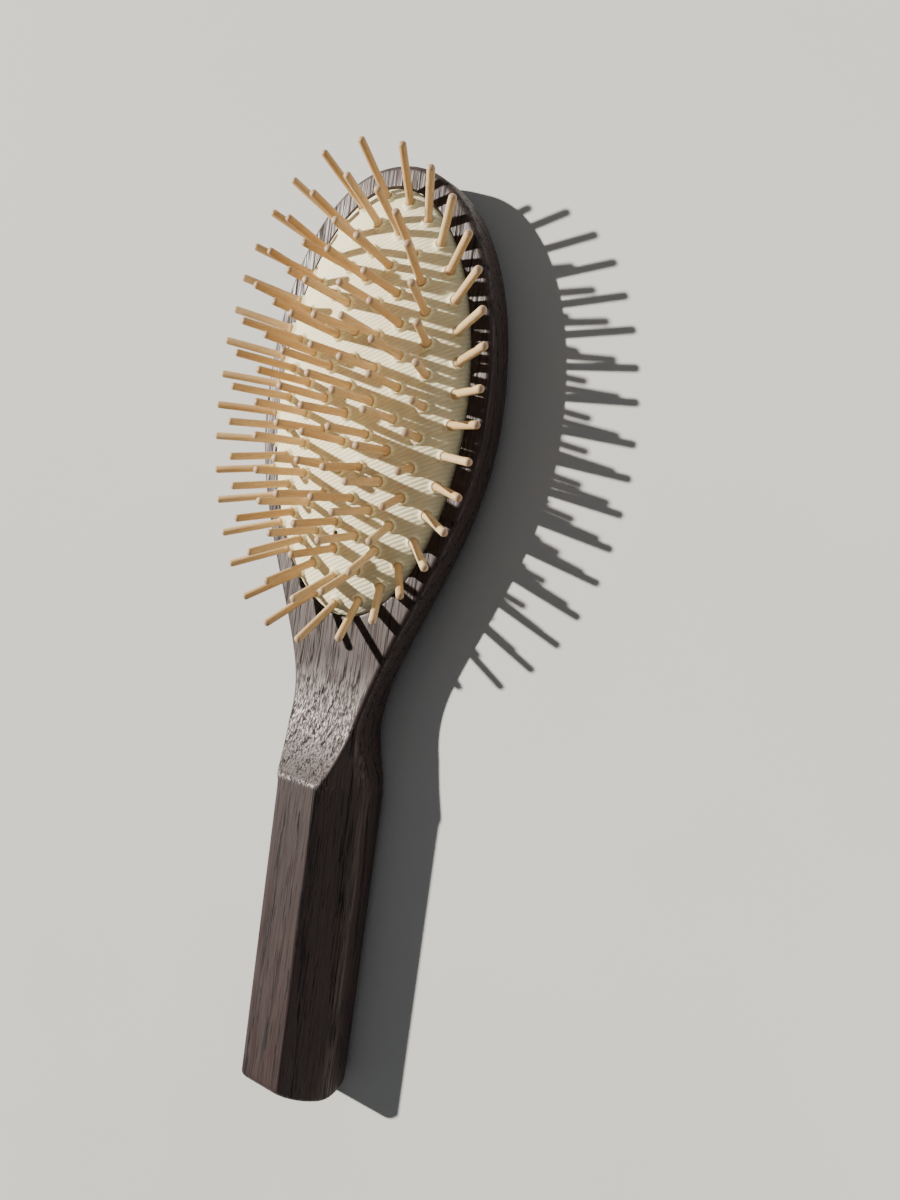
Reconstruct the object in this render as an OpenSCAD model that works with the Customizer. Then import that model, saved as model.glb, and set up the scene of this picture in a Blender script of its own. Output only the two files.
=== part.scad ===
// Oval cushion hairbrush: a one-piece wooden body, a domed rubber cushion held
// in a groove round the head's recess, and round wooden pins set in five
// concentric ovals. The brush lies on its flat back with the pins up.
// X runs across the brush, Y along it towards the head, Z up. Millimetres.
// Distances called "station" are measured along the front, from the handle's end.

/* [Wooden body] */
// Length of the wooden body along its front, from the handle's end to the head's tip
body_length = 240; // [232:1:250]
// Thickness of the head, from the flat back to the front plane
head_thickness = 13.6; // [12:0.1:16]
// Half of the head's greatest width
head_half_width = 35.6; // [34:0.1:40]
// Station of the head's greatest width
head_centre = 180; // [176:1:184]
// How square the head's tip is: 2 is an ellipse, more is squarer
tip_power = 2.12; // [2:0.02:2.4]
// How fast the neck flares into the head: less is faster
flare_power = 0.84; // [0.8:0.01:1]
// Half-width at the narrowest point of the neck
neck_half_width = 11.2; // [9:0.1:13]
// Station of the narrowest point of the neck
neck_centre = 97; // [94:1:100]
// Radius of the rounded back edge round the head
back_edge_radius = 7.6; // [5:0.1:9]
// Chamfer that softens the front edge
front_edge_soft = 0.9; // [0.5:0.1:1.4]

/* [Handle] */
// Half of the handle's width
handle_half_width = 14.1; // [13:0.1:16]
// Height of the handle's front facet above the head's front plane
handle_rise = 9; // [6:0.1:10]
// Station where the handle starts to narrow towards the neck
handle_top = 78; // [70:1:80]
// Half-width of the handle's flanks, where their slope meets the head's front plane
flank_half_width = 12.25; // [11.6:0.05:13]
// Sideways fall of the slanted flank for each millimetre of height
flank_slope = 0.65; // [0.5:0.01:0.7]
// Radius of the handle's rounded back edges
handle_edge_radius = 5.4; // [3:0.1:6]
// How far the handle's domed end reaches beyond its front face
end_bulge = 4; // [2:0.5:5]
// Radius of the rounded edge round the handle's end
end_edge_radius = 1.3; // [0.8:0.1:2]

/* [Scoop] */
// Station where the head's front plane starts to rise into the scoop
scoop_start = 115; // [112:0.5:118]
// Radius of the scoop
scoop_radius = 63; // [55:1:75]

/* [Recess] */
// Half of the recess's width
recess_half_width = 30; // [29.4:0.1:30.6]
// Half of the recess's length
recess_half_length = 54.5; // [53.6:0.1:55]
// Station of the recess's centre
recess_centre = 180; // [179:0.5:181]
// Depth of the recess
recess_depth = 7; // [6.5:0.1:7.5]
// Depth of the undercut groove in the recess's wall
groove_depth = 1.6; // [1.2:0.1:2]

/* [Cushion] */
// Thickness of the rubber
rubber_thickness = 1.5; // [1.2:0.1:1.6]
// Height of the dome over its own edge
dome_height = 8.9; // [8:0.1:9.5]
// How far the dome's edge lies below the head's front plane
dome_edge_drop = 0.9; // [0.6:0.1:1.2]
// Gap between the dome's edge and the recess's wall
rim_gap = 0.25; // [0.15:0.05:0.4]
// Station of the small vent hole in the rubber
vent_station = 146.8; // [146.4:0.1:147.2]
// Radius of the vent hole
vent_radius = 0.6; // [0.4:0.1:0.8]

/* [Pins] */
// Radius of a pin's shaft
pin_radius = 0.9; // [0.7:0.05:1]
// Length of a pin above the rubber
pin_length = 16.6; // [14:0.1:18]
// Radius of the foot that holds a pin under the rubber
foot_radius = 1.8; // [1.5:0.1:2]
// Thickness of a pin's foot
foot_thickness = 1; // [0.8:0.1:1.4]
// Half-width of the outermost oval of pins
oval_half_width = 27.8; // [27:0.1:28]
// Half-length of the outermost oval of pins
oval_half_length = 50.8; // [50:0.1:51]
// Spacing from one oval of pins to the next
oval_spacing = 6.9; // [6.7:0.05:6.95]
// Spacing of the pins on the centre line
centre_spacing = 6.8; // [6:0.1:7.2]
// Number of hinged crosswise rows that the ovals' pins fall into
row_count = 19; // [15:2:19]

/* [Hidden] */
// Pins in each oval, from the outermost inwards, and on the centre line
oval_pins = [34, 28, 22, 16];
centre_pins = 6;
// Lean of each oval's pins from upright, at the oval's sides and at its ends
side_lean = [54, 27, 11, 6];
end_lean = [36, 23, 9, 6];
// Radial clearance of a pin in its hole in the rubber
hole_clearance = 0.05;
// Free length between the rubber and a pin's foot
foot_gap = 0.7;
// Clearance between the cushion's bead and the groove that holds it
bead_clearance = 0.1;
// Height of the groove, and its distance below the head's front plane
groove_height = 2;
groove_drop = 1.4;
// Flat sides that stand for each oval curve
oval_sides = 72;
dome_sides = 48;
// Depth of the skirt that is cut off to leave one flat back face
skirt = 2;

handle_thickness = head_thickness + handle_rise;
ridge = scoop_start - sqrt(pow(scoop_radius, 2) - pow(scoop_radius - handle_rise, 2));
dome_half_width = recess_half_width - rim_gap;
dome_half_length = recess_half_length - rim_gap;
dome_base = head_thickness - dome_edge_drop;
// The outermost pin at the head's tip reaches beyond the wood
pin_reach = recess_centre + oval_half_length
    + (pin_length - pin_radius) * sin(end_lean[0]) + pin_radius;
// Station of the origin: the middle of the whole brush's length
origin_station = (max(pin_reach, body_length) - end_bulge) / 2;

// ---- Outline and front profile of the wooden body ----

// Smooth step from a to b as t goes from 0 to 1
function ease(a, b, t) = a + (b - a) * (1 - cos(180 * t)) / 2;

function neck_to_head(station) =
    pow((station - neck_centre) / (head_centre - neck_centre), flare_power);

function half_width(station) =
    station <= handle_top ? handle_half_width
    : station <= neck_centre
        ? ease(handle_half_width, neck_half_width,
               (station - handle_top) / (neck_centre - handle_top))
    : ease(neck_half_width, head_half_width, neck_to_head(station));

// Point of the head's tip at an angle from 0 (widest) to 90 (tip)
function tip_point(angle) = [
    head_half_width * pow(cos(angle), 2 / tip_power),
    head_centre + (body_length - head_centre) * pow(sin(angle), 2 / tip_power)
];

function front_height(station) =
    station >= scoop_start ? head_thickness
    : station > ridge
        ? head_thickness + scoop_radius
            - sqrt(pow(scoop_radius, 2) - pow(scoop_start - station, 2))
    : handle_thickness;

// Arc of the handle's domed end in side view, from the back up to the front
end_arc_radius = (pow(handle_thickness / 2, 2) + pow(end_bulge, 2)) / (2 * end_bulge);
function end_dome(height) =
    let (rise = height - handle_thickness / 2)
    max(0, sqrt(pow(end_arc_radius, 2) - rise * rise) - end_arc_radius + end_bulge);

// Rings round the handle's end, each set in by part of the end's edge radius
end_steps = 4;
end_rings = [
    for (i = [0 : end_steps])
        let (angle = 90 * i / end_steps)
        [handle_half_width, end_edge_radius * (1 - cos(angle)), end_edge_radius * (1 - sin(angle))]
];
// Stations from a to b in equal steps, without a itself
function steps_between(a, b, count) = [for (i = [1 : count]) a + (b - a) * i / count];

handle_steps = 4;
neck_steps = 5;
scoop_steps = 6;
head_steps = 10;
// Angles of the rings round the head's tip, closer together near its end
tip_angles = [8, 16, 24, 32, 40, 48, 56, 64, 72, 80, 86];
side_stations = concat(
    steps_between(0, handle_top, handle_steps),
    [ridge],
    steps_between(ridge, neck_centre, neck_steps),
    steps_between(neck_centre, scoop_start, scoop_steps),
    steps_between(scoop_start, head_centre, head_steps)
);
// Half outline from the handle to the head's tip as [half-width, station, inset]
side_outline = concat(
    end_rings,
    [for (station = side_stations) [half_width(station), station, 0]],
    [for (angle = tip_angles) let (p = tip_point(angle)) [p[0], p[1], 0]]
);
ring_total = len(side_outline);

// Outward normal of the outline, from the points before and after
function outline_normal(i) =
    i <= end_steps || i >= ring_total ? [1, 0]
    : let (
        before = side_outline[i - 1],
        after = i == ring_total - 1 ? [0, body_length] : side_outline[i + 1],
        run = [after[0] - before[0], after[1] - before[1]]
    )
    [run[1], -run[0]] / norm(run);

// Station on the centre line that belongs to an outline station. It ends short of the tip.
spine_end = body_length - 14;
function spine_station(station) =
    station <= neck_centre ? station
    : neck_centre + (station - neck_centre) * (spine_end - neck_centre) / (body_length - neck_centre);

// Point between three others that rounds off the corner in the middle
function soften(a, corner, b) = (a + 2 * corner + b) / 4;

// Cross-section from the back's centre to the front's centre as [inset, height].
// The corner between wall and flank and the one between flank and front are softened.
arc_steps = 4;
flank_steps = 4;
corner_soft = 1.2;
function wall_profile(station, width, inset) =
    let (
        on_handle = station < neck_centre,
        front = front_height(station) - inset,
        wall_radius = ease(handle_edge_radius, back_edge_radius,
            min(1, max(0, (station - handle_top) / (scoop_start - handle_top)))),
        flank_top = min(width - front_edge_soft,
            on_handle ? flank_half_width - flank_slope * (front + inset - head_thickness) - inset : width),
        flank_foot = min(front - front_edge_soft,
            on_handle ? head_thickness + (flank_half_width - inset - width) / flank_slope : front),
        low = [0, flank_foot],
        high = [width - flank_top, front],
        slant = (high - low) / norm(high - low),
        soft = min(corner_soft, 0.4 * norm(high - low)),
        below = low - [0, soft],
        wall_foot = [0, inset + wall_radius],
        above = low + slant * soft,
        outer = high - slant * soft,
        inner = high + [soft, 0]
    )
    concat(
        [[wall_radius, inset > 0 ? inset : -skirt]],
        [for (i = [0 : arc_steps])
            let (angle = 90 * i / arc_steps)
            [wall_radius * (1 - sin(angle)), inset + wall_radius * (1 - cos(angle))]],
        [(wall_foot + below) / 2, below, soften(below, low, above)],
        [for (i = [0 : flank_steps]) above + (outer - above) * i / flank_steps],
        [soften(outer, high, inner), inner]
    );

// One side's column of points, from the back's centre line up to the front's
function column(i, side) =
    let (
        tip = i == ring_total,
        ring = tip ? [0, body_length, 0] : side_outline[i],
        normal = tip ? [0, 1] : outline_normal(i),
        width = ring[0] - ring[2],
        place = [width, ring[1]],
        profile = wall_profile(ring[1], width, ring[2])
    )
    [for (p = profile)
        let (
            at = place - normal * p[0],
            bulge = i <= end_steps ? end_dome(p[1]) : 0
        )
        [side * at[0], at[1] - bulge - origin_station, p[1]]];

profile_count = len(wall_profile(0, handle_half_width, 0));
ring_size = 2 * profile_count + 2;

// Closed ring: back's centre, right column up, front's centre, left column down
function ring_points(i) =
    let (
        station = side_outline[i][1],
        inset = side_outline[i][2],
        middle = spine_station(station),
        back = inset > 0 ? inset : -skirt,
        front = front_height(middle) - inset,
        on_end = i <= end_steps
    )
    concat(
        [[0, middle - (on_end ? end_dome(back) : 0) - origin_station, back]],
        column(i, 1),
        [[0, middle - (on_end ? end_dome(front) : 0) - origin_station, front]],
        [for (j = [profile_count - 1 : -1 : 0]) column(i, -1)[j]]
    );

// Faces of a band between two closed rings of points
function strip(a, b, size) = [
    for (j = [0 : size - 1])
        let (k = (j + 1) % size)
        each [[a + j, b + j, b + k], [a + j, b + k, a + k]]
];

module body_blank() {
    rings = [for (i = [0 : ring_total - 1]) each ring_points(i)];
    tip_column = column(ring_total, 1);
    points = concat(rings, tip_column);
    last = (ring_total - 1) * ring_size;
    front = profile_count + 1;
    tip = ring_total * ring_size;
    // The tip's column runs between the last ring's two centre points
    tip_path = concat([last], [for (j = [0 : profile_count - 1]) tip + j], [last + front]);
    right_path = [for (j = [0 : front]) last + j];
    left_path = [for (j = [0 : front]) last + (ring_size - j) % ring_size];
    // The handle's end is closed by bands that run straight across it
    end_cap = concat(
        [[0, 1, 2, 3, ring_size - 3, ring_size - 2, ring_size - 1]],
        [for (j = [3 : profile_count - 2]) [j, j + 1, ring_size - j - 1, ring_size - j]],
        [[for (j = [front - 2 : front + 2]) j]]
    );
    faces = concat(
        end_cap,
        [for (i = [0 : ring_total - 2]) each strip(i * ring_size, (i + 1) * ring_size, ring_size)],
        [for (j = [0 : front - 1]) each cap_pair(right_path, tip_path, j, front)],
        [for (j = [0 : front - 1]) each cap_pair(tip_path, left_path, j, front)]
    );
    polyhedron(points = points, faces = faces, convexity = 6);
}

// Two triangles between neighbouring paths, or one where the paths share an end
function cap_pair(a, b, j, front) =
    j == 0 ? [[a[0], b[1], a[1]]]
    : j == front - 1 ? [[a[j], b[j], a[front]]]
    : [[a[j], b[j], b[j + 1]], [a[j], b[j + 1], a[j + 1]]];

// ---- Oval curves ----

function oval_point(half_width, half_length, angle) = [
    half_width * sin(angle),
    recess_centre - origin_station + half_length * cos(angle)
];

module oval_plate(half_width, half_length, bottom, top) {
    translate([0, 0, bottom])
        linear_extrude(top - bottom)
            polygon([for (i = [0 : oval_sides - 1])
                oval_point(half_width, half_length, 360 * i / oval_sides)]);
}

// Height of the dome's outer face over a point
function dome_z(x, y) =
    let (
        along = (y - recess_centre + origin_station) / dome_half_length,
        across = x / dome_half_width
    )
    dome_base + dome_height * sqrt(max(0, 1 - along * along - across * across));

// ---- Pins ----

// Distance round half an oval to each whole angle, as [distance, angle]
angle_step = 2;
function oval_walk(half_width, half_length) = [
    for (
        angle = 0, walked = 0;
        angle <= 180;
        angle = angle + angle_step,
        walked = walked + norm(oval_point(half_width, half_length, angle)
            - oval_point(half_width, half_length, angle - angle_step))
    )
        [walked, angle]
];

// Feet and leans of one oval's pins, evenly spaced round it: [x, y, z, lean x, lean y]
function oval_of_pins(k) =
    let (
        half_width = oval_half_width - k * oval_spacing,
        half_length = oval_half_length - k * oval_spacing,
        walk = oval_walk(half_width, half_length),
        half_round = walk[len(walk) - 1][0],
        half_count = oval_pins[k] / 2
    )
    [for (i = [1 - half_count : half_count])
        let (
            angle = sign(i) * lookup(abs(i) * half_round / half_count, walk),
            at = oval_point(half_width, half_length, angle)
        )
        [at[0], at[1], dome_z(at[0], at[1]),
            tan(side_lean[k]) * sin(angle), tan(end_lean[k]) * cos(angle)]];

all_oval_pins = [for (k = [0 : len(oval_pins) - 1]) each oval_of_pins(k)];

first_row_y = recess_centre - origin_station - oval_half_length;
row_pitch = 2 * oval_half_length / row_count;
function row_of(pin) = min(row_count - 1, max(0, floor((pin[1] - first_row_y) / row_pitch)));

// One turned pin, its foot under the rubber, upright with its root at the origin
module turned_pin() {
    foot_top = -rubber_thickness - foot_gap;
    tip_steps = 5;
    rotate_extrude($fn = 24)
        polygon(concat(
            [[0, foot_top - foot_thickness], [foot_radius, foot_top - foot_thickness],
                [foot_radius, foot_top], [pin_radius, foot_top]],
            [for (i = [0 : tip_steps])
                let (angle = 90 * i / tip_steps)
                [pin_radius * cos(angle), pin_length - pin_radius + pin_radius * sin(angle)]]
        ));
}

// Puts its children at a pin's root, turned to the pin's lean
module at_pin(pin) {
    tilt = atan(norm([pin[3], pin[4]]));
    turn = atan2(pin[4], pin[3]);
    translate([pin[0], pin[1], pin[2]])
        rotate([0, tilt, turn])
            children();
}

function row_name(row) = str("pin_row_", row < 9 ? "0" : "", row + 1);

// ---- Sub-parts ----

module wooden_body() {
    color([0.16, 0.10, 0.09])
        difference() {
            body_blank();
            translate([-head_half_width - skirt, -body_length, -2 * skirt])
                cube([2 * (head_half_width + skirt), 2 * body_length, 2 * skirt]);
            oval_plate(recess_half_width, recess_half_length,
                head_thickness - recess_depth, head_thickness + skirt);
            oval_plate(recess_half_width + groove_depth, recess_half_length + groove_depth,
                head_thickness - groove_drop - groove_height, head_thickness - groove_drop);
        }
}

// Dome with a bead round its edge, as rings of points round the oval
module cushion_shell() {
    dome_steps = 7;
    bead_top = head_thickness - groove_drop - bead_clearance;
    bead_bottom = head_thickness - groove_drop - groove_height + bead_clearance;
    bead_reach = rim_gap + groove_depth - bead_clearance;
    // Each entry is [distance beyond the dome's edge, fraction of the dome's size, height]
    outer = [for (i = [1 : dome_steps])
        let (angle = 90 * i / dome_steps)
        [0, sin(angle), dome_base + dome_height * cos(angle)]];
    bead = [
        [0, 1, bead_top],
        [bead_reach, 1, bead_top],
        [bead_reach, 1, bead_bottom],
        [-rubber_thickness, 1, bead_bottom]
    ];
    inner = [for (i = [dome_steps : -1 : 1])
        let (angle = 90 * i / dome_steps)
        [-rubber_thickness * sin(angle), sin(angle),
            dome_base + (dome_height - rubber_thickness) * cos(angle)]];
    rings = concat(outer, bead, inner);
    count = len(rings);
    crown = recess_centre - origin_station;
    points = concat(
        [for (r = rings, i = [0 : dome_sides - 1])
            let (p = oval_point(dome_half_width * r[1] + r[0], dome_half_length * r[1] + r[0],
                -360 * i / dome_sides))
            [p[0], p[1], r[2]]],
        [[0, crown, dome_base + dome_height], [0, crown, dome_base + dome_height - rubber_thickness]]
    );
    top = count * dome_sides;
    faces = concat(
        [for (i = [0 : dome_sides - 1]) [top, (i + 1) % dome_sides, i]],
        [for (k = [0 : count - 2]) each strip(k * dome_sides, (k + 1) * dome_sides, dome_sides)],
        [for (i = [0 : dome_sides - 1])
            [top + 1, (count - 1) * dome_sides + i, (count - 1) * dome_sides + (i + 1) % dome_sides]]
    );
    polyhedron(points = points, faces = faces, convexity = 6);
}

module cushion() {
    hole_depth = rubber_thickness + foot_gap;
    color([0.90, 0.87, 0.74])
        difference() {
            cushion_shell();
            for (pin = concat(all_oval_pins, centre_line_pins()))
                at_pin(pin)
                    translate([0, 0, -2 * hole_depth])
                        cylinder(r = pin_radius + hole_clearance, h = 3 * hole_depth, $fn = 24);
            translate([0, vent_station - origin_station, dome_base])
                cylinder(r = vent_radius, h = 2 * dome_height, $fn = 24);
        }
}

function centre_line_pins() = [
    for (i = [0 : centre_pins - 1])
        let (y = recess_centre - origin_station + (i - (centre_pins - 1) / 2) * centre_spacing)
        [0, y, dome_z(0, y), 0, 0]
];

module centre_pin_line() {
    color([0.86, 0.70, 0.47])
        for (pin = centre_line_pins())
            at_pin(pin) turned_pin();
}

module pin_row(row) {
    color([0.86, 0.70, 0.47])
        for (pin = all_oval_pins)
            if (row_of(pin) == row)
                at_pin(pin) turned_pin();
}

wooden_body();
cushion();
centre_pin_line();  // centre_pins
for (row = [0 : row_count - 1])
    pin_row(row);
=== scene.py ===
"""Looks of the oval cushion hairbrush: fine wooden body, rubber cushion and turned pins.

Lengths in this script are millimetres in the CAD frame, and meshes are made in metres.
A station is a distance along the brush's front from the handle's end, as in the CAD source.
"""

import math
import random

import bmesh
import bpy
import numpy as np
from mathutils import Matrix, Vector
from mathutils.geometry import delaunay_2d_cdt


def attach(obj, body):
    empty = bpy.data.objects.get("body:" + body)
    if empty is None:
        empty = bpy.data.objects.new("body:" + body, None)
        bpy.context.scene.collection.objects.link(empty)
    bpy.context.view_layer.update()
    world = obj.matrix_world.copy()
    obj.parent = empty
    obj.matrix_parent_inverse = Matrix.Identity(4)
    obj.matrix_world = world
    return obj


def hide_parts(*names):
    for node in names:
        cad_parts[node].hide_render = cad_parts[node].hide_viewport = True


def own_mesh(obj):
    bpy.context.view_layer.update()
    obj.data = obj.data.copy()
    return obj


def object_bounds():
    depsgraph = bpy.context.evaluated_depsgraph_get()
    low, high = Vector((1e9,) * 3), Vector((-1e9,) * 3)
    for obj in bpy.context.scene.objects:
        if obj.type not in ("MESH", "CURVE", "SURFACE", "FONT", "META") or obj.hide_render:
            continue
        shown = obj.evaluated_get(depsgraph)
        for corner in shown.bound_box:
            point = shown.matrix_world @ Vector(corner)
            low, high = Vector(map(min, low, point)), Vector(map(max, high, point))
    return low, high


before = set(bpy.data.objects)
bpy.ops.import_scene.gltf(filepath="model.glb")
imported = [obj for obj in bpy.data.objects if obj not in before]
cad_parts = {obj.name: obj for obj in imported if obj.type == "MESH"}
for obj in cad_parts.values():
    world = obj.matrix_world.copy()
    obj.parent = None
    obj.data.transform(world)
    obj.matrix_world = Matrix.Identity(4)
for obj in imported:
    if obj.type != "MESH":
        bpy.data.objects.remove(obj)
cad_low, cad_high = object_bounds()
MM = 0.001

# ---- Driving dimensions, as in the CAD source ----

body_length = 240
head_thickness = 13.6
head_half_width = 35.6
head_centre = 180
tip_power = 2.12
flare_power = 0.84
neck_half_width = 11.2
neck_centre = 97
back_edge_radius = 7.6
front_edge_soft = 0.9
handle_half_width = 14.1
handle_rise = 9
handle_top = 78
flank_half_width = 12.25
flank_slope = 0.65
handle_edge_radius = 5.4
end_bulge = 4
end_edge_radius = 1.3
scoop_start = 115
scoop_radius = 63
recess_half_width = 30
recess_half_length = 54.5
recess_depth = 7
groove_depth = 1.6
groove_drop = 1.4
groove_height = 2
rubber_thickness = 1.5
dome_height = 8.9
dome_edge_drop = 0.9
rim_gap = 0.25
vent_station = 146.8
vent_radius = 0.6
bead_clearance = 0.1
pin_radius = 0.9
pin_length = 16.6
foot_radius = 1.8
foot_thickness = 1
foot_gap = 0.7
oval_half_width = 27.8
oval_half_length = 50.8
oval_spacing = 6.9
oval_pins = [34, 28, 22, 16]
centre_pins = 6
centre_spacing = 6.8
row_count = 19
side_lean = [54, 27, 11, 6]
end_lean = [36, 23, 9, 6]

handle_thickness = head_thickness + handle_rise
ridge = scoop_start - math.sqrt(scoop_radius ** 2 - (scoop_radius - handle_rise) ** 2)
dome_half_width = recess_half_width - rim_gap
dome_half_length = recess_half_length - rim_gap
dome_base = head_thickness - dome_edge_drop
# The handle's domed end is the frame's lowest Y
origin_station = -end_bulge - cad_low.y / MM
crown_y = head_centre - origin_station


# ---- Camera ----

def make_camera():
    """The main viewing angle: from the right of the handle, well above the front face."""
    aim_side, aim_station = 32.77, 135
    aim = Vector((aim_side, aim_station - origin_station, head_thickness))
    distance = 229.4
    elevation = math.radians(57.64)
    azimuth = math.radians(9.28)
    roll = math.radians(-7.90)
    back = Vector((
        math.cos(elevation) * math.cos(azimuth),
        math.cos(elevation) * math.sin(azimuth),
        math.sin(elevation),
    ))
    level_up = (Vector((0, 1, 0)) - back * back.y).normalized()
    level_right = level_up.cross(back)
    up = level_up * math.cos(roll) + level_right * math.sin(roll)
    right = up.cross(back)
    data = bpy.data.cameras.new("camera")
    data.lens = 28.5
    data.sensor_width = 36
    data.clip_start = 0.01
    data.clip_end = 20
    camera = bpy.data.objects.new("camera", data)
    bpy.context.scene.collection.objects.link(camera)
    turn = Matrix((right, up, back)).transposed()
    camera.matrix_world = Matrix.LocRotScale((aim + back * distance) * MM, turn.to_quaternion(), None)
    bpy.context.scene.camera = camera


make_camera()


# ---- Small helpers ----

def ease(a, b, t):
    """From a to b along half a cosine wave."""
    return a + (b - a) * (1 - math.cos(math.pi * t)) / 2


def smooth(t):
    """From 0 to 1 with level ends, held beyond them."""
    t = np.clip(t, 0, 1)
    return t * t * (3 - 2 * t)


def add_object(name, points, faces, material):
    """A smooth-shaded mesh object from points in millimetres."""
    mesh = bpy.data.meshes.new(name)
    mesh.from_pydata((np.asarray(points, float) * MM).tolist(), [], faces)
    mesh.validate()
    mesh.materials.append(material)
    made = bpy.data.objects.new(name, mesh)
    bpy.context.scene.collection.objects.link(made)
    mesh.shade_smooth()
    return made


def turn_outwards(made, sharp, join=False):
    """Turns faces outwards and keeps edges over an angle in degrees sharp; join welds points first."""
    mesh = bmesh.new()
    mesh.from_mesh(made.data)
    if join:
        bmesh.ops.remove_doubles(mesh, verts=mesh.verts, dist=0.02 * MM)
        bmesh.ops.dissolve_degenerate(mesh, edges=mesh.edges, dist=0.001 * MM)
    bmesh.ops.recalc_face_normals(mesh, faces=mesh.faces)
    mesh.to_mesh(made.data)
    mesh.free()
    made.data.shade_smooth()
    made.data.set_sharp_from_angle(angle=math.radians(sharp))


class Material:
    """A node material under construction."""

    def __init__(self, name):
        self.material = bpy.data.materials.new(name)
        self.material.use_nodes = True
        self.tree = self.material.node_tree
        self.shader = self.tree.nodes["Principled BSDF"]

    def node(self, kind, inputs=None, **settings):
        """A node with its inputs linked or set, by name or number."""
        made = self.tree.nodes.new(kind)
        for key, value in settings.items():
            setattr(made, key, value)
        for key, value in (inputs or {}).items():
            if isinstance(value, bpy.types.NodeSocket):
                self.tree.links.new(value, made.inputs[key])
            else:
                made.inputs[key].default_value = value
        return made

    def place(self):
        """Object coordinates, in metres."""
        return self.node("ShaderNodeTexCoord").outputs["Object"]

    def stretched(self, vector, scale, turn=(0, 0, 0)):
        """The coordinates turned, then scaled, so that features run along an axis."""
        turned = self.node("ShaderNodeMapping", {"Vector": vector, "Rotation": turn}).outputs[0]
        return self.node("ShaderNodeMapping", {"Vector": turned, "Scale": scale}).outputs[0]

    def noise(self, vector, scale=1, detail=2, roughness=0.5):
        """Noise from 0 to 1, with its middle near 0.5."""
        return self.node("ShaderNodeTexNoise", {
            "Vector": vector, "Scale": scale, "Detail": detail, "Roughness": roughness,
        }).outputs["Fac"]

    def span(self, value, low, high, to_low=0, to_high=1):
        """The value's range low to high, taken to another range and held at its ends."""
        return self.node("ShaderNodeMapRange", {
            "Value": value, "From Min": low, "From Max": high, "To Min": to_low, "To Max": to_high,
        }).outputs[0]

    def math(self, kind, a, b):
        """An operation on two values."""
        return self.node("ShaderNodeMath", {0: a, 1: b}, operation=kind).outputs[0]

    def mix(self, share, a, b):
        """Colour a turning into colour b by a share; a colour mix uses sockets 0, 6 and 7."""
        return self.node("ShaderNodeMix", {0: share, 6: a, 7: b}, data_type="RGBA").outputs[2]

    def bump(self, height, strength, depth, under=None):
        """A bump of a depth in millimetres, over another bump."""
        inputs = {"Height": height, "Strength": strength, "Distance": depth * MM}
        if under is not None:
            inputs["Normal"] = under
        return self.node("ShaderNodeBump", inputs).outputs[0]

    def finish(self, colour, roughness, normal, **constants):
        """Links the surface, and sets what is constant over it on the shader's own sockets."""
        self.tree.links.new(colour, self.shader.inputs["Base Color"])
        self.tree.links.new(roughness, self.shader.inputs["Roughness"])
        self.tree.links.new(normal, self.shader.inputs["Normal"])
        for key, value in constants.items():
            self.shader.inputs[key.replace("_", " ").title().replace("Ior", "IOR")].default_value = value
        return self.material


# ---- Materials ----

def dark_wood():
    """Dark brown open-pored wood with the grain along the brush and a satin polish."""
    wood = Material("dark_wood")
    place = wood.place()
    # Growth layers lie a few millimetres apart, slanted across the brush, and wander along the grain
    layers_per_metre, layer_tilt = 660, (0, 0.95, 0.02)
    tilted = wood.stretched(place, (1, 1, 1), layer_tilt)
    across = wood.node("ShaderNodeSeparateXYZ", {"Vector": tilted}).outputs["X"]
    wander = wood.noise(wood.stretched(place, (55, 6, 55)), detail=1)
    layer = wood.math("MULTIPLY", across, layers_per_metre)
    layer = wood.math("ADD", layer, wood.math("MULTIPLY", wander, 4))
    early = wood.span(wood.math("PINGPONG", layer, 1), 0.6, 0.95)
    # Long thin pores, dense in the early wood
    pore_noise = wood.noise(wood.stretched(place, (2600, 100, 2600)), detail=1.5, roughness=0.6)
    dense = wood.span(early, 0, 1, 0.655, 0.52)
    pores = wood.span(wood.math("SUBTRACT", pore_noise, dense), 0, 0.03)
    # Here and there a pore opens into a long fine crack
    crack_noise = wood.noise(wood.stretched(place, (1500, 24, 1500)), detail=1, roughness=0.5)
    cracked = wood.span(early, 0, 1, 0.73, 0.62)
    cracks = wood.span(wood.math("SUBTRACT", crack_noise, cracked), 0, 0.02)
    pores = wood.math("MAXIMUM", pores, cracks)
    # Fibres tint the wood; together with broader streaks they make it satin or dull
    fibre = wood.noise(wood.stretched(place, (3800, 70, 3800)), detail=2.5, roughness=0.65)
    streak = wood.noise(wood.stretched(place, (2200, 58, 2200)), detail=2, roughness=0.6)
    cloud = wood.noise(wood.stretched(place, (60, 14, 60)), detail=3)
    ground = wood.mix(wood.span(cloud, 0.3, 0.7), (0.013, 0.0078, 0.0078, 1), (0.029, 0.015, 0.0138, 1))
    ground = wood.mix(wood.math("MULTIPLY", early, 0.45), ground, (0.012, 0.0065, 0.0075, 1))
    ground = wood.mix(wood.span(fibre, 0.35, 0.7, 0, 0.6), ground, (0.060, 0.034, 0.031, 1))
    colour = wood.mix(pores, ground, (0.0045, 0.003, 0.0035, 1))
    satin = wood.math("ADD", wood.math("MULTIPLY", fibre, 0.55), wood.math("MULTIPLY", streak, 0.45))
    rough = wood.span(satin, 0.43, 0.57, 0.78, 0.37)
    rough = wood.math("ADD", rough, wood.math("MULTIPLY", pores, 0.3))
    normal = wood.bump(fibre, 0.45, 0.05)
    normal = wood.bump(wood.math("SUBTRACT", 1.0, pores), 0.8, 0.09, normal)
    return wood.finish(
        colour, rough, normal,
        specular_ior_level=0.55, specular_tint=(1.0, 0.94, 0.92, 1),
    )


# The cushion's ribs: spacing, and turn from straight across the brush
rib_pitch = 0.98
rib_turn = math.radians(27)


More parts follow.
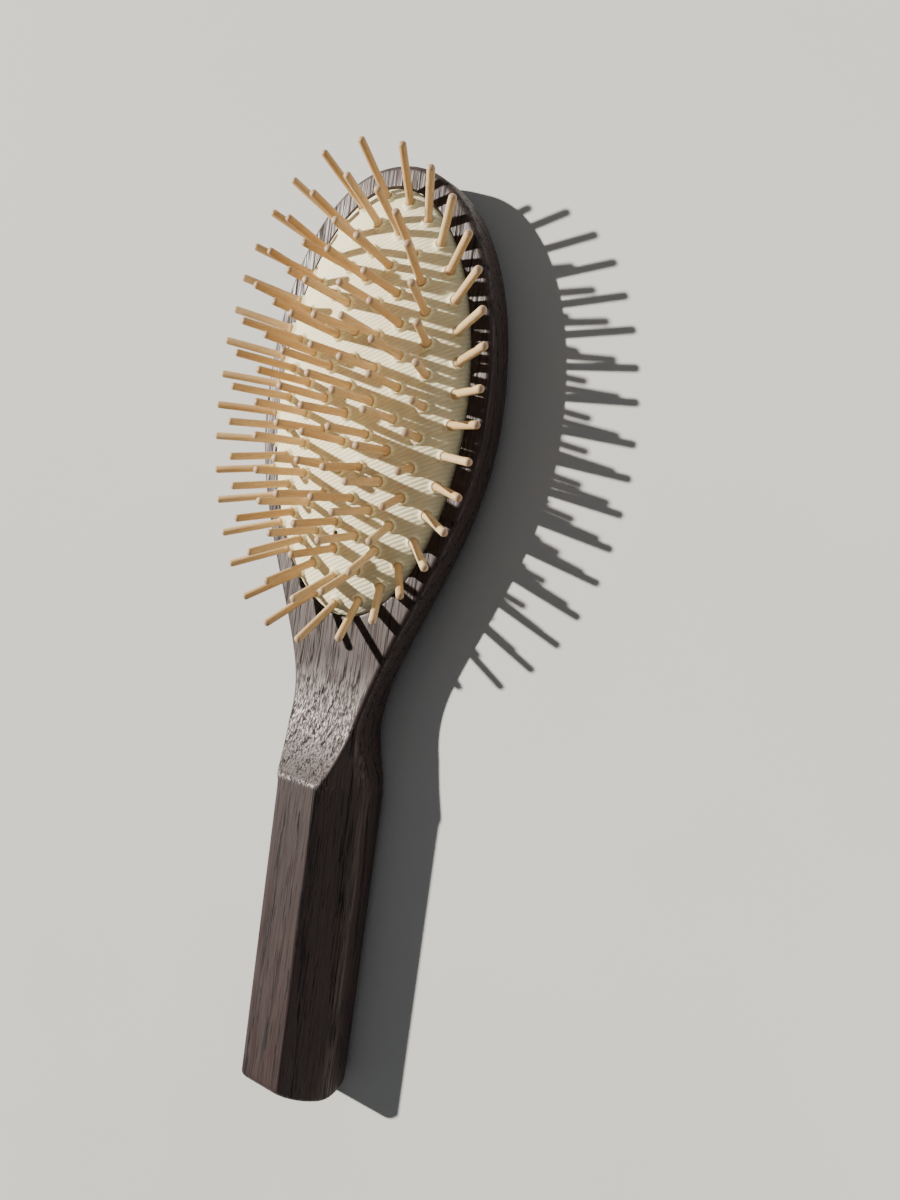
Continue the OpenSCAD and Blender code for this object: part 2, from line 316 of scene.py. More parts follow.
def cream_rubber():
    """Matt cream rubber with fine slanting ribs, with painted shade in the rib valleys and in the vent
    hole.
    """
    rubber = Material("cream_rubber")
    place = rubber.place()
    turned = rubber.stretched(place, (1, 1, 1), (0, 0, -rib_turn))
    line = rubber.node("ShaderNodeSeparateXYZ", {"Vector": turned}).outputs["Y"]
    phase = rubber.math("MULTIPLY", line, 2 * math.pi / (rib_pitch * MM))
    wave = rubber.math("COSINE", phase, 0.0)
    # Painted shade: a share that is highest at the bottom of each rib valley
    rib_valley_shade = rubber.span(wave, -1, 0.1, 1, 0)
    grain = rubber.noise(place, 2600, 3, 0.6)
    cloud = rubber.noise(place, 90, 3)
    ground = rubber.mix(rubber.span(cloud, 0.3, 0.7), (0.89, 0.81, 0.52, 1), (0.96, 0.90, 0.62, 1))
    ground = rubber.mix(rubber.span(grain, 0.3, 0.7, 0, 0.16), ground, (0.72, 0.64, 0.42, 1))
    # Painted shade in the rib valleys: the rubber darkened towards olive where each valley dips
    colour = rubber.mix(rubber.math("MULTIPLY", rib_valley_shade, 0.34), ground, (0.60, 0.53, 0.33, 1))
    # Painted shade darkens the vent hole inside, round a point just under the rubber's surface
    vent = [float(part) * MM for part in (*vent_place, dome_z(*vent_place) - vent_radius)]
    away = rubber.node("ShaderNodeVectorMath", {0: place, 1: vent}, operation="DISTANCE")
    vent_shade = rubber.span(away.outputs["Value"], vent_radius * MM, (vent_radius + 0.25) * MM, 0.96, 0)
    # Painted shade: the vent's inside is mixed towards near black
    colour = rubber.mix(vent_shade, colour, (0.012, 0.010, 0.007, 1))
    rough = rubber.span(grain, 0.3, 0.7, 0.62, 0.8)
    normal = rubber.bump(wave, 0.5, 0.05)
    normal = rubber.bump(grain, 0.3, 0.04, normal)
    return rubber.finish(
        colour, rough, normal,
        specular_ior_level=0.35, subsurface_weight=0.12, subsurface_scale=0.0015,
    )


def pin_wood():
    """Pale turned wood with a faint grain along each pin, with painted shade at the root and a darker
    cut tip, partly end grain and partly painted shade.
    """
    wood = Material("pin_wood")
    own = wood.node("ShaderNodeAttribute", attribute_name="pin_space").outputs["Vector"]
    tone = wood.node("ShaderNodeAttribute", attribute_name="pin_tone").outputs["Fac"]
    height = wood.node("ShaderNodeAttribute", attribute_name="pin_height").outputs["Fac"]
    grain = wood.noise(wood.stretched(own, (4.6, 4.6, 0.2)), detail=3, roughness=0.62)
    fleck = wood.noise(wood.stretched(own, (9, 9, 0.8)), detail=1)
    ground = wood.mix(tone, (0.64, 0.42, 0.195, 1), (0.79, 0.60, 0.335, 1))
    ground = wood.mix(wood.span(grain, 0.38, 0.68, 0, 0.6), ground, (0.50, 0.29, 0.125, 1))
    ground = wood.mix(wood.span(fleck, 0.62, 0.7, 0, 0.5), ground, (0.36, 0.19, 0.08, 1))
    # Painted shade at the root, where the pin meets the rubber's lip
    ground = wood.mix(wood.span(height, 1.4, 0.2, 0, 0.55), ground, (0.40, 0.22, 0.09, 1))
    # The cut tip is darkened: partly its darker end grain, partly painted shade on the end face
    tip = wood.span(height, pin_length - 0.9, pin_length - 0.1, 0, 0.6)
    colour = wood.mix(tip, ground, (0.40, 0.25, 0.185, 1))
    rough = wood.span(grain, 0.3, 0.7, 0.42, 0.58)
    normal = wood.bump(grain, 0.4, 0.05)
    return wood.finish(colour, rough, normal, specular_ior_level=0.45)


def floor_paint():
    """Plain pale matt paint."""
    paint = Material("floor_paint")
    place = paint.place()
    mottle = paint.noise(place, 9, 3)
    fine = paint.noise(place, 420, 3)
    colour = paint.mix(paint.span(mottle, 0.3, 0.7), (0.55, 0.545, 0.525, 1), (0.59, 0.585, 0.565, 1))
    rough = paint.span(mottle, 0.3, 0.7, 0.75, 0.85)
    return paint.finish(colour, rough, paint.bump(fine, 0.15, 0.1))


# ---- Wooden body ----

def half_width(station):
    """Half-width of the outline below the head's widest place."""
    if station <= handle_top:
        return handle_half_width
    if station <= neck_centre:
        share = (station - handle_top) / (neck_centre - handle_top)
        return ease(handle_half_width, neck_half_width, share)
    share = ((station - neck_centre) / (head_centre - neck_centre)) ** flare_power
    return ease(neck_half_width, head_half_width, min(1, share))


def tip_point(angle):
    """Half-width and station on the head's rounded tip, from 0 (widest) to 90 degrees (tip)."""
    c = max(0.0, math.cos(math.radians(angle)))
    s = math.sin(math.radians(angle))
    return (
        head_half_width * c ** (2 / tip_power),
        head_centre + (body_length - head_centre) * s ** (2 / tip_power),
    )


def front_height(station):
    """Height of the front: the head's plane, the scoop's arc and the handle's facet."""
    if station >= scoop_start:
        return head_thickness
    if station <= ridge:
        return handle_thickness
    return head_thickness + scoop_radius - math.sqrt(scoop_radius ** 2 - (scoop_start - station) ** 2)


# Reach and half the number of samples of the soft ridge between scoop and facet
ridge_soft = 1.3
ridge_samples = 8


def soft_front(station):
    """Front height with the scoop's end worn round where it meets the handle's facet."""
    steps = [k / ridge_samples * ridge_soft for k in range(-ridge_samples, ridge_samples + 1)]
    weights = [(1 - (step / ridge_soft) ** 2) ** 2 for step in steps]
    total = sum(w * front_height(station + step) for w, step in zip(weights, steps))
    return total / sum(weights)


# Rings that round the edge of the handle's end
end_rings = 7
end_arc_radius = ((handle_thickness / 2) ** 2 + end_bulge ** 2) / (2 * end_bulge)


def end_dome(height):
    """How far the handle's domed end reaches beyond its front edge at a height."""
    rise = height - handle_thickness / 2
    return max(0.0, math.sqrt(end_arc_radius ** 2 - rise ** 2) - end_arc_radius + end_bulge)


# Spacing of the rings along the handle, over the ridge and up to the head, and round its tip
handle_spacing = 3
ridge_spacing = 0.2
head_spacing = 1.15
tip_spacing = 1.5


def body_rings():
    """Half outline from the handle's end to the head's tip, as [half-width, station, inset]."""
    rings = []
    for k in range(end_rings):
        angle = math.radians(90 * k / (end_rings - 1))
        rings.append([
            handle_half_width,
            end_edge_radius * (1 - math.cos(angle)),
            end_edge_radius * (1 - math.sin(angle)),
        ])
    stations = list(np.arange(2 * handle_spacing, handle_top, handle_spacing))
    stations += [ridge - 3, ridge - 2, ridge + 1.9, ridge + 2.6]
    stations += [ridge + ridge_spacing * k for k in range(-7, 8)]
    stations += list(np.arange(ridge + 3.6, head_centre - 0.5, head_spacing))
    for station in sorted(stations):
        rings.append([half_width(station), station, 0])
    tip_angles = list(np.arange(0, 88, tip_spacing)) + [88.5, 89.5]
    rings += [[*tip_point(angle), 0] for angle in tip_angles]
    return rings


def outline_normals(rings):
    """Outward direction of the outline at each ring, as (across, along)."""
    normals = []
    for i, ring in enumerate(rings):
        if ring[2] > 0 or i == 0:
            normals.append((1.0, 0.0))
            continue
        before = rings[i - 1]
        after = rings[i + 1] if i + 1 < len(rings) else [0, body_length]
        run = (after[0] - before[0], after[1] - before[1])
        size = math.hypot(*run)
        normals.append((run[1] / size, -run[0] / size))
    return normals


def rounded(corner, before, after, radius, steps=5):
    """Points of a quadratic curve round the corner between two straight lines."""
    corner, before, after = (np.array(p, float) for p in (corner, before, after))
    back = (before - corner) / np.linalg.norm(before - corner)
    on = (after - corner) / np.linalg.norm(after - corner)
    start, stop = corner + back * radius, corner + on * radius
    return [
        (1 - t) ** 2 * start + 2 * t * (1 - t) * corner + t * t * stop
        for t in (k / steps for k in range(steps + 1))
    ]


# Rounding of the flank's lower and upper corners, and the share of the flank each may take
wall_round = 2.6
front_round = 0.6
corner_share = 0.42
back_steps = 10
flank_steps = 6
wall_shares = (0.33, 0.67)
# How far the section reaches in beyond its back edge and its front edge
back_margin = 1
front_margin = 0.5


def wall_radius(station):
    """Radius of the rounded edge between the back and the wall."""
    blend = min(1, max(0, (station - handle_top) / (scoop_start - handle_top)))
    return ease(handle_edge_radius, back_edge_radius, blend)


def wall_profile(station, width, inset):
    """Cross-section from the back edge to the front face as [distance in, height]."""
    front = soft_front(station) - inset
    on_handle = station < neck_centre
    radius = wall_radius(station)
    flank_top = width - front_edge_soft
    flank_foot = front - front_edge_soft
    if on_handle:
        above = front + inset - head_thickness
        flank_top = min(flank_top, flank_half_width - flank_slope * above - inset)
        flank_foot = min(flank_foot, head_thickness + (flank_half_width - inset - width) / flank_slope)
    low = np.array([0, flank_foot])
    high = np.array([width - flank_top, front])
    slant = float(np.linalg.norm(high - low))
    low_soft = min(wall_round, corner_share * slant)
    high_soft = min(front_round, corner_share * slant)
    profile = [[radius + back_margin, inset]]
    for k in range(back_steps + 1):
        angle = math.radians(90 * k / back_steps)
        profile.append([radius * (1 - math.sin(angle)), inset + radius * (1 - math.cos(angle))])
    wall_top = flank_foot - low_soft
    wall_foot = inset + radius
    profile += [[0, wall_foot + (wall_top - wall_foot) * t] for t in wall_shares]
    profile += [list(p) for p in rounded(low, (0, 0), high, low_soft)]
    flank_start, flank_stop = low_soft / slant, 1 - high_soft / slant
    for k in range(1, flank_steps):
        share = flank_start + (flank_stop - flank_start) * k / flank_steps
        profile.append(list(low + (high - low) * share))
    inwards = high + np.array([1, 0])
    profile += [list(p) for p in rounded(high, low, inwards, high_soft)]
    profile.append([high[0] + high_soft + front_margin, front])
    return profile


# Steps of a strip from one edge of the body to the other
strip_steps = 18
# The head's face starts here, beyond the scoop
face_start = scoop_start + 3.2
# Rounding of the recess's mouth, and the width of the close band round it
mouth_round = 0.45
mouth_band = 0.35
mouth_steps = 4
# Loops between the head's outline and that band
face_shares = (0.35, 0.7)


def wooden_body(material):
    """The one-piece body: wall, strips across back and front, domed end, head's face and recess."""
    rings = body_rings()
    normals = outline_normals(rings)
    points, faces = [], []

    def add(x, station, z):
        points.append((x, station - origin_station, z))
        return len(points) - 1

    columns = {1: [], -1: []}
    for i, ((half, station, inset), (nx, ny)) in enumerate(zip(rings, normals)):
        width = half - inset
        profile = wall_profile(station, width, inset)
        foot = inset + wall_radius(station)
        front = soft_front(station) - inset
        placed = []
        for depth, height in profile:
            at = station - ny * depth
            # Points near the front face follow its height at their own station
            share = max(0, (height - foot) / (front - foot))
            shift = share * (soft_front(at) - soft_front(station))
            if i < end_rings:
                at -= end_dome(height)
            placed.append((max(0.0, width - nx * depth), at, height + shift))
        for side in (1, -1):
            columns[side].append([add(side * x, at, z) for x, at, z in placed])
    tip_profile = wall_profile(body_length, 0, 0)
    tip = [add(0, body_length - p[0], p[1]) for p in tip_profile]
    count = len(tip)
    for side in (1, -1):
        run = columns[side] + [tip]
        for a, b in zip(run, run[1:]):
            for j in range(count - 1):
                quad = [a[j], a[j + 1], b[j + 1], b[j]]
                faces.append(quad if side < 0 else quad[::-1])

    def bridge(left, right, flip=False):
        """Faces between two rows of points."""
        for j in range(len(left) - 1):
            quad = [left[j], left[j + 1], right[j + 1], right[j]]
            faces.append(quad[::-1] if flip else quad)

    # Front strips of the handle and scoop run right across, from edge to edge
    head_ring = next(i for i, ring in enumerate(rings) if ring[1] > face_start)

    def across(i, back=False):
        """A row of points from the left edge to the right, over the front or the back."""
        end = 0 if back else count - 1
        left, right = columns[-1][i][end], columns[1][i][end]
        a, b = points[left], points[right]
        row = [left]
        for k in range(1, strip_steps):
            t = k / strip_steps
            station = a[1] + (b[1] - a[1]) * t + origin_station
            height = a[2] if back or rings[i][2] > 0 else soft_front(station)
            row.append(add(a[0] + (b[0] - a[0]) * t, station, height))
        return row + [right]

    front_rows = [across(i) for i in range(head_ring + 1)]
    for a, b in zip(front_rows, front_rows[1:]):
        bridge(a, b, flip=True)
    back_rows = [across(i, back=True) for i in range(len(rings))]
    for a, b in zip(back_rows, back_rows[1:]):
        bridge(a, b)
    # The last back row closes on the tip's column
    last = back_rows[-1]
    for j in range(len(last) - 1):
        faces.append([last[j], last[j + 1], tip[0]])
    # The handle's end: the first rings' rows face the end
    profile_left, profile_right = columns[-1][0], columns[1][0]
    end_rows = [back_rows[0]]
    for j in range(1, count - 1):
        a, b = points[profile_left[j]], points[profile_right[j]]
        row = [profile_left[j]]
        for k in range(1, strip_steps):
            t = k / strip_steps
            row.append(add(a[0] + (b[0] - a[0]) * t, a[1] + origin_station, a[2]))
        end_rows.append(row + [profile_right[j]])
    end_rows.append(front_rows[0])
    for a, b in zip(end_rows, end_rows[1:]):
        bridge(a, b, flip=True)

    # Head face: from the outline's inner edge in to the recess
    outer = front_rows[head_ring][1:-1]
    right_edge = [columns[1][i][-1] for i in range(head_ring, len(rings))]
    left_edge = [columns[-1][i][-1] for i in range(head_ring, len(rings))]
    loop = outer + right_edge + [tip[-1]] + left_edge[::-1]
    total = len(loop)

    def oval_loop(grow, z):
        """A loop round the recess, with a point for each of the face's outline."""
        made = []
        for p in loop:
            x, y, _ = points[p]
            angle = math.atan2(x / recess_half_width, (y - crown_y) / recess_half_length)
            made.append(add(
                (recess_half_width + grow) * math.sin(angle),
                crown_y + origin_station + (recess_half_length + grow) * math.cos(angle),
                z,
            ))
        return made

    def between(a, b, t):
        """A loop in the head's plane, a share of the way from one loop to another."""
        made = []
        for p, q in zip(a, b):
            x = points[p][0] + (points[q][0] - points[p][0]) * t
            y = points[p][1] + (points[q][1] - points[p][1]) * t
            made.append(add(x, y + origin_station, head_thickness))
        return made

    inner = oval_loop(mouth_round + mouth_band, head_thickness)
    loops = [loop] + [between(loop, inner, t) for t in face_shares] + [inner]
    for k in range(mouth_steps + 1):
        angle = math.radians(90 * k / mouth_steps)
        drop = mouth_round * (1 - math.cos(angle))
        loops.append(oval_loop(mouth_round * (1 - math.sin(angle)), head_thickness - drop))
    groove_top = head_thickness - groove_drop
    groove_bottom = groove_top - groove_height
    floor = head_thickness - recess_depth
    loops.append(oval_loop(0, groove_top))
    loops.append(oval_loop(groove_depth, groove_top))
    loops.append(oval_loop(groove_depth, groove_bottom))
    loops.append(oval_loop(0, groove_bottom))
    loops.append(oval_loop(0, floor))
    loops.append(oval_loop(-recess_half_width / 2, floor))
    for a, b in zip(loops, loops[1:]):
        for j in range(total):
            k = (j + 1) % total
            faces.append([a[j], a[k], b[k], b[j]])
    centre = add(0, head_centre, floor)
    for j in range(total):
        faces.append([loops[-1][j], loops[-1][(j + 1) % total], centre])
    made = add_object("wooden_handle_and_head", points, faces, material)
    turn_outwards(made, sharp=50, join=True)
    return made


# ---- Pins' places ----

def dome_z(x, y):
    """Height of the rubber's dome."""
    across = np.asarray(x) / dome_half_width
    along = (np.asarray(y) - crown_y) / dome_half_length
    return dome_base + dome_height * np.sqrt(np.maximum(0, 1 - across ** 2 - along ** 2))


def oval_point(half, length, angle):
    """Place on an oval round the crown, at an angle in degrees from the tip's side."""
    return half * math.sin(math.radians(angle)), crown_y + length * math.cos(math.radians(angle))


# Angles at which an oval's length is walked
walk_angles = list(range(0, 181, 2))


def oval_of_pins(k):
    """Roots and leans of one oval's pins, evenly spaced round it."""
    half = oval_half_width - k * oval_spacing
    length = oval_half_length - k * oval_spacing
    walk = [0.0]
    for a, b in zip(walk_angles, walk_angles[1:]):
        walk.append(walk[-1] + math.dist(oval_point(half, length, a), oval_point(half, length, b)))
    half_count = oval_pins[k] // 2
    pins = []
    for i in range(1 - half_count, half_count + 1):
        angle = math.copysign(np.interp(abs(i) * walk[-1] / half_count, walk, walk_angles), i)
        x, y = oval_point(half, length, angle)
        lean_x = math.tan(math.radians(side_lean[k])) * math.sin(math.radians(angle))
        lean_y = math.tan(math.radians(end_lean[k])) * math.cos(math.radians(angle))
        pins.append((Vector((x, y, float(dome_z(x, y)))), Vector((lean_x, lean_y, 1)).normalized()))
    return pins


def row_of(root):
    """Number of the crosswise row that a pin belongs to."""
    first = crown_y - oval_half_length
    pitch = 2 * oval_half_length / row_count
    return min(row_count - 1, max(0, math.floor((root.y - first) / pitch)))


oval_pin_list = [pin for k in range(len(oval_pins)) for pin in oval_of_pins(k)]
centre_pin_list = []
for i in range(centre_pins):
    y = crown_y + (i - (centre_pins - 1) / 2) * centre_spacing
    centre_pin_list.append((Vector((0, y, float(dome_z(0, y)))), Vector((0, 0, 1))))
all_pins = oval_pin_list + centre_pin_list


# ---- Cushion ----

# The lip that the rubber makes round each pin
lip_height = 0.8
lip_radius = pin_radius + 0.56
lip_groove = 0.3
lip_width = 0.34
lip_reach = pin_radius + 1.22
rib_depth = 0.07
vent_place = (0, vent_station - origin_station)
# The vent's depth and the width of its wall, and the raised ring round it
vent_depth = 1.3
vent_wall = 0.22
vent_ring_height = 0.12
vent_ring_place = 0.35
vent_ring_width = 0.25
vent_clear = 1.5
# Widths over which the ribs fade out round a pin, and the lip at its own edge
rib_clear = 0.3
rib_fade = 1.0
lip_fade = 0.6
# Shares of dome_inside, next to the rim, over which the ribs and the lips fade out
rim_rib_fade = 0.08
rim_lip_fade = 0.03
# Rounding of the bead's edges, and how much deeper than the rubber the underside lies
bead_soft = 0.3
rib_allowance = 0.3
# The plan's rows along the ribs, and its loops near the rim, in degrees from the crown
plan_reach = 60
step_along = 0.95
step_across = rib_pitch / 5
loop_sides = 260
loop_angles = range(70, 91, 2)
# Room left between the rows and the loops, and between the rings and the rim, by dome_inside
row_gap = 0.008
ring_limit = 0.994
# Rings of points as radius and number of points: round each pin, beyond its shaft, and in the vent
pin_rings = (
    (-0.3, 12), (0, 20), (0.24, 22), (0.42, 24), (0.56, 24), (0.72, 26), (0.92, 26), (1.14, 28),
)
vent_rings = ((0, 1), (0.3, 10), (0.5, 16), (0.62, 16), (0.8, 18), (1.1, 20), (1.4, 22))
# Steps in which a ring's point slides onto the dome, each by a share of what is left
slide_steps = 12
slide_share = 0.6


def pin_frame(lean):
    """Two directions square to a pin and to each other."""
    side = lean.cross(Vector((0, 1, 0))).normalized()
    return side, lean.cross(side)


def distances(points):
    """Distance of each point from the nearest pin's axis, and that pin's number."""
    best = np.full(len(points), 1e9)
    which = np.zeros(len(points), int)
    for i, (root, lean) in enumerate(all_pins):
        gap = points - np.array(root)
        off = gap - np.outer(gap @ np.array(lean), np.array(lean))
        size = np.linalg.norm(off, axis=1)
        near = size < best
        best[near] = size[near]
        which[near] = i
    return best, which


def dome_inside(xy):
    """Square of each point's share of the way from the dome's middle to its rim."""
    return (xy[:, 0] / dome_half_width) ** 2 + ((xy[:, 1] - crown_y) / dome_half_length) ** 2


def pin_ring(root, lean, radius, sides, offset):
    """Plan points of a ring on the dome, square to a pin."""
    side, up = pin_frame(lean)
    ring = []
    for k in range(sides):
        angle = 2 * math.pi * (k + offset) / sides
        spot = root + (side * math.cos(angle) + up * math.sin(angle)) * radius
        # Slides along the pin's axis onto the dome
        for _ in range(slide_steps):
            spot = spot + lean * (float(dome_z(spot.x, spot.y)) - spot.z) * slide_share
        ring.append((spot.x, spot.y))
    return ring


def cushion_plan():
    """Points over the dome's plan: rows along the ribs, loops at the rim and rings round each pin."""
    loops = []
    for angle in loop_angles:
        share = math.sin(math.radians(angle))
        turns = np.linspace(0, 2 * math.pi, loop_sides, endpoint=False)
        loops.append(np.column_stack((
            dome_half_width * share * np.sin(turns),
            crown_y + dome_half_length * share * np.cos(turns),
        )))
    rim = loops.pop()
    u = np.arange(-plan_reach, plan_reach, step_along)
    v = np.arange(-plan_reach, plan_reach, step_across)
    grid = np.stack(np.meshgrid(u, v), -1).reshape(-1, 2)
    c, s = math.cos(rib_turn), math.sin(rib_turn)
    grid = grid @ np.array([[c, -s], [s, c]]).T + np.array([0, crown_y])
    inner_edge = math.sin(math.radians(loop_angles[0])) ** 2
    grid = grid[dome_inside(grid) < inner_edge - row_gap]
    field = np.vstack([grid, *loops])
    lifted = np.column_stack((field, dome_z(field[:, 0], field[:, 1])))
    gap, _ = distances(lifted)
    vent_gap = np.hypot(field[:, 0] - vent_place[0], field[:, 1] - vent_place[1])
    field = field[(gap > lip_reach) & (vent_gap > vent_clear)]
    rings = []
    for root, lean in all_pins:
        for beyond, sides in pin_rings:
            # Rings outside the shaft are turned by half a step
            offset = 0.5 if beyond > 0 else 0
            rings += pin_ring(root, lean, pin_radius + beyond, sides, offset)
    for radius, sides in vent_rings:
        for k in range(sides):
            angle = 2 * math.pi * k / sides
            x = vent_place[0] + radius * math.cos(angle)
            rings.append((x, vent_place[1] + radius * math.sin(angle)))
    rings = np.array(rings)
    rings = rings[dome_inside(rings) < ring_limit]
    return rim, np.vstack([field, rings])


def cushion(material):
    """The rubber shell: ribbed dome with its lips and vent, bead and hollow underside."""
    rim, field = cushion_plan()
    plan = np.vstack([rim, field])
    count = len(rim)
    edges = [(i, (i + 1) % count) for i in range(count)]
    spots, _, triangles, _, _, _ = delaunay_2d_cdt([Vector(p) for p in plan], edges, [], 1, 1e-5)
    xy = np.array([(p.x, p.y) for p in spots])
    top = np.column_stack((xy, dome_z(xy[:, 0], xy[:, 1])))
    gap, which = distances(top)
    leans = np.array([list(lean) for _, lean in all_pins])
    # Ribs fade out at the rim and round the pins
    line = -math.sin(rib_turn) * xy[:, 0] + math.cos(rib_turn) * xy[:, 1]
    fade = smooth((gap - pin_radius - rib_clear) / rib_fade)
    fade = fade * smooth((1 - dome_inside(xy)) / rim_rib_fade)
    top[:, 2] += rib_depth * fade * (np.cos(2 * math.pi * line / rib_pitch) - 1) / 2
    # The rubber puckers up round each pin's root
    lift = lip_height * np.exp(-(np.maximum(0, gap - lip_radius) / lip_width) ** 2)
    lift -= lip_groove * np.clip((lip_radius - gap) / (lip_radius - pin_radius), 0, 1)
    lift *= smooth((lip_reach - gap) / lip_fade)
    keep_rim = smooth((1 - dome_inside(xy)) / rim_lip_fade)
    top += leans[which] * (lift * keep_rim)[:, None]
    # A small vent hole near the handle's end, sunk through the rubber's skin
    vent = np.hypot(xy[:, 0] - vent_place[0], xy[:, 1] - vent_place[1])
    top[:, 2] -= vent_depth * smooth((vent_radius + 0.1 - vent) / vent_wall)
    away = (vent - vent_radius - vent_ring_place) / vent_ring_width
    top[:, 2] += vent_ring_height * np.exp(-away ** 2)
    points = [tuple(p) for p in top]
    faces = [list(t) for t in triangles]
    # The rim's own points, in order, from their places
    all_turns = np.arctan2(xy[:, 0] / dome_half_width, (xy[:, 1] - crown_y) / dome_half_length)
    on_rim = dome_inside(xy) > 0.9999
    rim_order = [int(i) for i in np.argsort(all_turns) if on_rim[i]]
    turns = [float(all_turns[i]) for i in rim_order]

    def loop(grow, share, z):
        """A loop with a point for each of the rim's, grown or drawn in from it."""
        start = len(points)
        for turn in turns:
            points.append((
                (dome_half_width * share + grow) * math.sin(turn),
                crown_y + (dome_half_length * share + grow) * math.cos(turn),
                z,
            ))
        return list(range(start, len(points)))

    bead_top = head_thickness - groove_drop - bead_clearance
    bead_bottom = head_thickness - groove_drop - groove_height + bead_clearance
    bead_reach = rim_gap + groove_depth - bead_clearance
    loops = [rim_order, loop(0, 1, bead_top), loop(bead_reach - bead_soft, 1, bead_top)]
    loops += [loop(bead_reach, 1, bead_top - bead_soft), loop(bead_reach, 1, bead_bottom + bead_soft)]
    loops += [loop(bead_reach - bead_soft, 1, bead_bottom), loop(-rubber_thickness, 1, bead_bottom)]
    # The underside, a little deeper than the rubber's thickness to clear the ribs
    hollow = dome_height - rubber_thickness - rib_allowance
    for angle in range(90, 0, -9):
        share = math.sin(math.radians(angle))
        height = dome_base + hollow * math.cos(math.radians(angle))
        loops.append(loop(-rubber_thickness * share, share, height))
    for a, b in zip(loops, loops[1:]):
        for j in range(len(a)):
            k = (j + 1) % len(a)
            faces.append([a[j], a[k], b[k], b[j]])
    points.append((0, crown_y, dome_base + hollow))
    last = loops[-1]
    faces += [[last[j], last[(j + 1) % len(last)], len(points) - 1] for j in range(len(last))]
    made = add_object("rubber_cushion", points, faces, material)
    turn_outwards(made, sharp=60, join=True)
    return made


# ---- Pins ----

pin_sides = 20
foot_soft = 0.2
# The shaft swells a little above its root
shaft_radius = pin_radius + 0.08
# The root's collar, as distance beyond the pin's radius and height above the rubber
collar = ((0, -rubber_thickness), (0.12, 0), (0.26, 0.55), (0.27, 0.95), (0.22, 1.2), (0.1, 1.42))
collar_top = 1.8
# The tip is a little flatter than a half ball
tip_height = 0.85 * pin_radius
tip_power_across = 0.8
tip_steps = 7
# How much single pins differ in lean, in radians, and in length
lean_spread = 0.022
length_spread = (-0.25, 0.15)


def pin_profile(length):
    """Radius and height along a turned pin, from its foot up to its rounded tip."""
    foot_top = -rubber_thickness - foot_gap
    foot_bottom = foot_top - foot_thickness
    profile = [
        (0, foot_bottom), (foot_radius - foot_soft, foot_bottom),
        (foot_radius, foot_bottom + foot_soft), (foot_radius, foot_top - foot_soft),
        (foot_radius - foot_soft, foot_top), (pin_radius, foot_top),
    ]
    profile += [(pin_radius + beyond, height) for beyond, height in collar]
    profile += [(shaft_radius, collar_top), (shaft_radius, length * 0.4), (shaft_radius, length * 0.7)]
    for k in range(tip_steps + 1):
        angle = math.radians(90 * k / tip_steps)
        profile.append((
            shaft_radius * math.cos(angle) ** tip_power_across,
            length - tip_height + tip_height * math.sin(angle),
        ))
    return profile


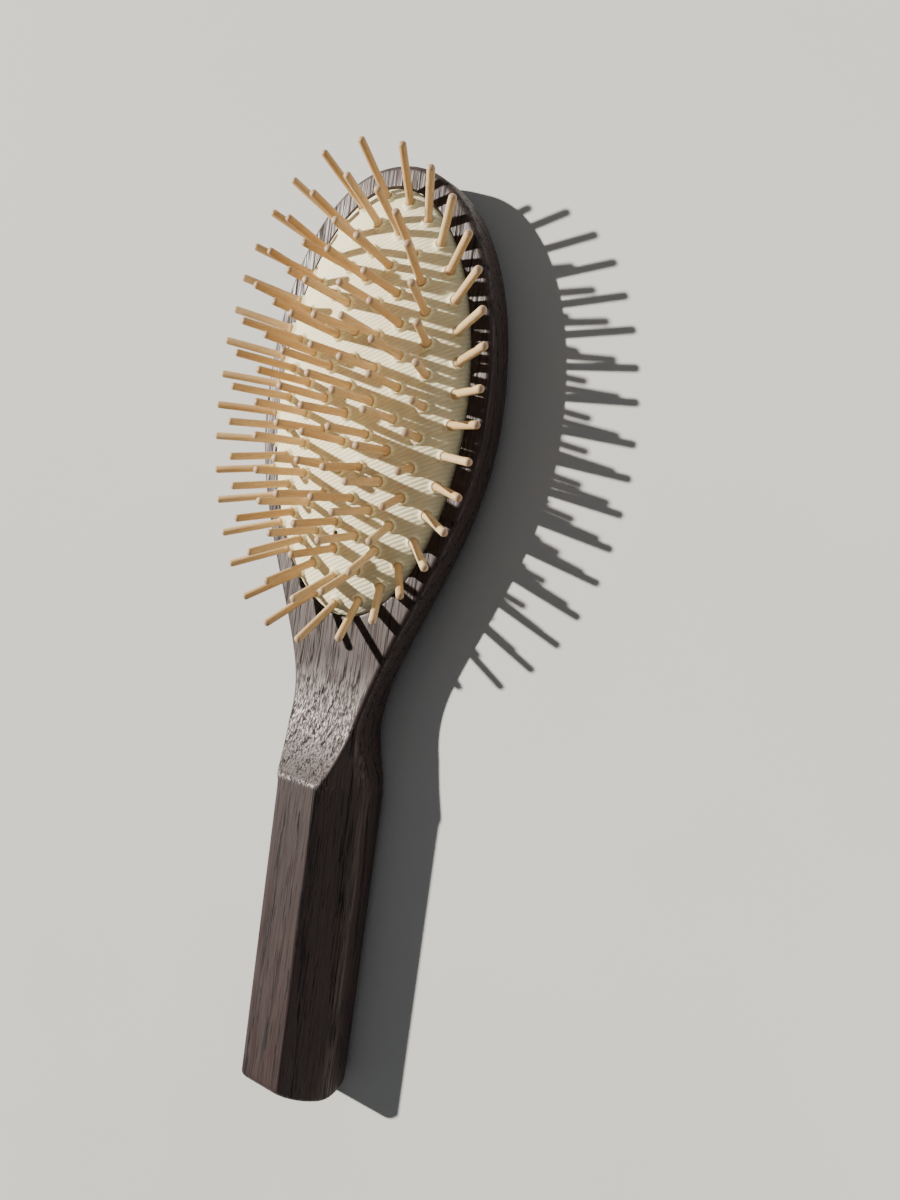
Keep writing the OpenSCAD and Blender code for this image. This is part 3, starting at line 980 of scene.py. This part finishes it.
def pin_piece(name, pins, material, rng):
    """Turned pins as one object, with each pin's own grain place, tone and height as attributes."""
    points, faces, own, tones, heights = [], [], [], [], []
    for root, lean in pins:
        leaned = lean + Vector((rng.gauss(0, lean_spread), rng.gauss(0, lean_spread), 0))
        leaned = leaned.normalized()
        length = pin_length + rng.uniform(*length_spread)
        spin = rng.uniform(0, 2 * math.pi)
        shift = [rng.uniform(0, 90) for _ in range(3)]
        tone = rng.random()
        side, up = pin_frame(leaned)
        rows = []
        for radius, height in pin_profile(length):
            # The foot's middle and the tip are single points
            count = 1 if radius < 1e-6 else pin_sides
            angles = [2 * math.pi * k / pin_sides + spin for k in range(count)]
            row = []
            for angle in angles:
                local = Vector((radius * math.cos(angle), radius * math.sin(angle), height))
                spot = root + side * local.x + up * local.y + leaned * local.z
                row.append(len(points))
                points.append(tuple(spot))
                own.append([local[i] + shift[i] for i in range(3)])
                tones.append(tone)
                heights.append(height)
            rows.append(row)
        for a, b in zip(rows, rows[1:]):
            for j in range(pin_sides):
                k = (j + 1) % pin_sides
                if len(a) == 1:
                    faces.append([a[0], b[k], b[j]])
                elif len(b) == 1:
                    faces.append([a[j], a[k], b[0]])
                else:
                    faces.append([a[j], a[k], b[k], b[j]])
    made = add_object(name, points, faces, material)
    added = made.data.attributes
    added.new("pin_space", "FLOAT_VECTOR", "POINT").data.foreach_set("vector", np.array(own).ravel())
    added.new("pin_tone", "FLOAT", "POINT").data.foreach_set("value", tones)
    added.new("pin_height", "FLOAT", "POINT").data.foreach_set("value", heights)
    turn_outwards(made, sharp=50)
    return made


# ---- Pieces ----

body = wooden_body(dark_wood())
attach(body, "brush_body")
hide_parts("wooden_body")

rubber = cushion(cream_rubber())
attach(rubber, "brush_body")
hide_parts("cushion")
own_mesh(rubber)

rng = random.Random(7)
pale = pin_wood()
middle_pins = pin_piece("turned_centre_pins", centre_pin_list, pale, rng)
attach(middle_pins, "pin_bed")
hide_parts("centre_pins")
for row in range(row_count):
    number = f"{row + 1:02d}"
    pins = [pin for pin in oval_pin_list if row_of(pin[0]) == row]
    piece = pin_piece(f"turned_pins_{number}", pins, pale, rng)
    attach(piece, f"row_{number}")
    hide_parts(f"pin_row_{number}")


# ---- Floor and light ----

def lamp(name, kind, energy, colour, direction, distance):
    """A lamp that shines along a direction onto the brush, from a distance in metres."""
    data = bpy.data.lights.new(name, kind)
    data.energy = energy
    data.color = colour
    made = bpy.data.objects.new(name, data)
    bpy.context.scene.collection.objects.link(made)
    towards = Vector(direction).normalized()
    middle = Vector((0, 0.03, 0.01))
    made.location = middle - towards * distance
    made.rotation_mode = "QUATERNION"
    made.rotation_quaternion = towards.to_track_quat("-Z", "Y")
    return data


def make_stage():
    """A pale floor under a hard key lamp, a soft fill and a dim even sky."""
    half_floor = 1500
    corners = ((-1, -1), (1, -1), (1, 1), (-1, 1))
    points = [(x * half_floor, y * half_floor, 0) for x, y in corners]
    floor = add_object("floor", points, [[0, 1, 2, 3]], floor_paint())
    key = lamp("key", "SUN", 9.0, (1.0, 0.955, 0.88), (0.72, -0.18, -0.67), 1.0)
    key.angle = math.radians(1.4)
    fill = lamp("fill", "AREA", 0.8, (0.95, 0.97, 1.0), (-0.35, -0.75, -0.5), 0.9)
    fill.size = 0.6
    world = bpy.data.worlds.new("studio")
    world.use_nodes = True
    sky = world.node_tree.nodes["Background"].inputs
    sky["Color"].default_value = (0.80, 0.82, 0.86, 1)
    sky["Strength"].default_value = 0.155
    bpy.context.scene.world = world


make_stage()
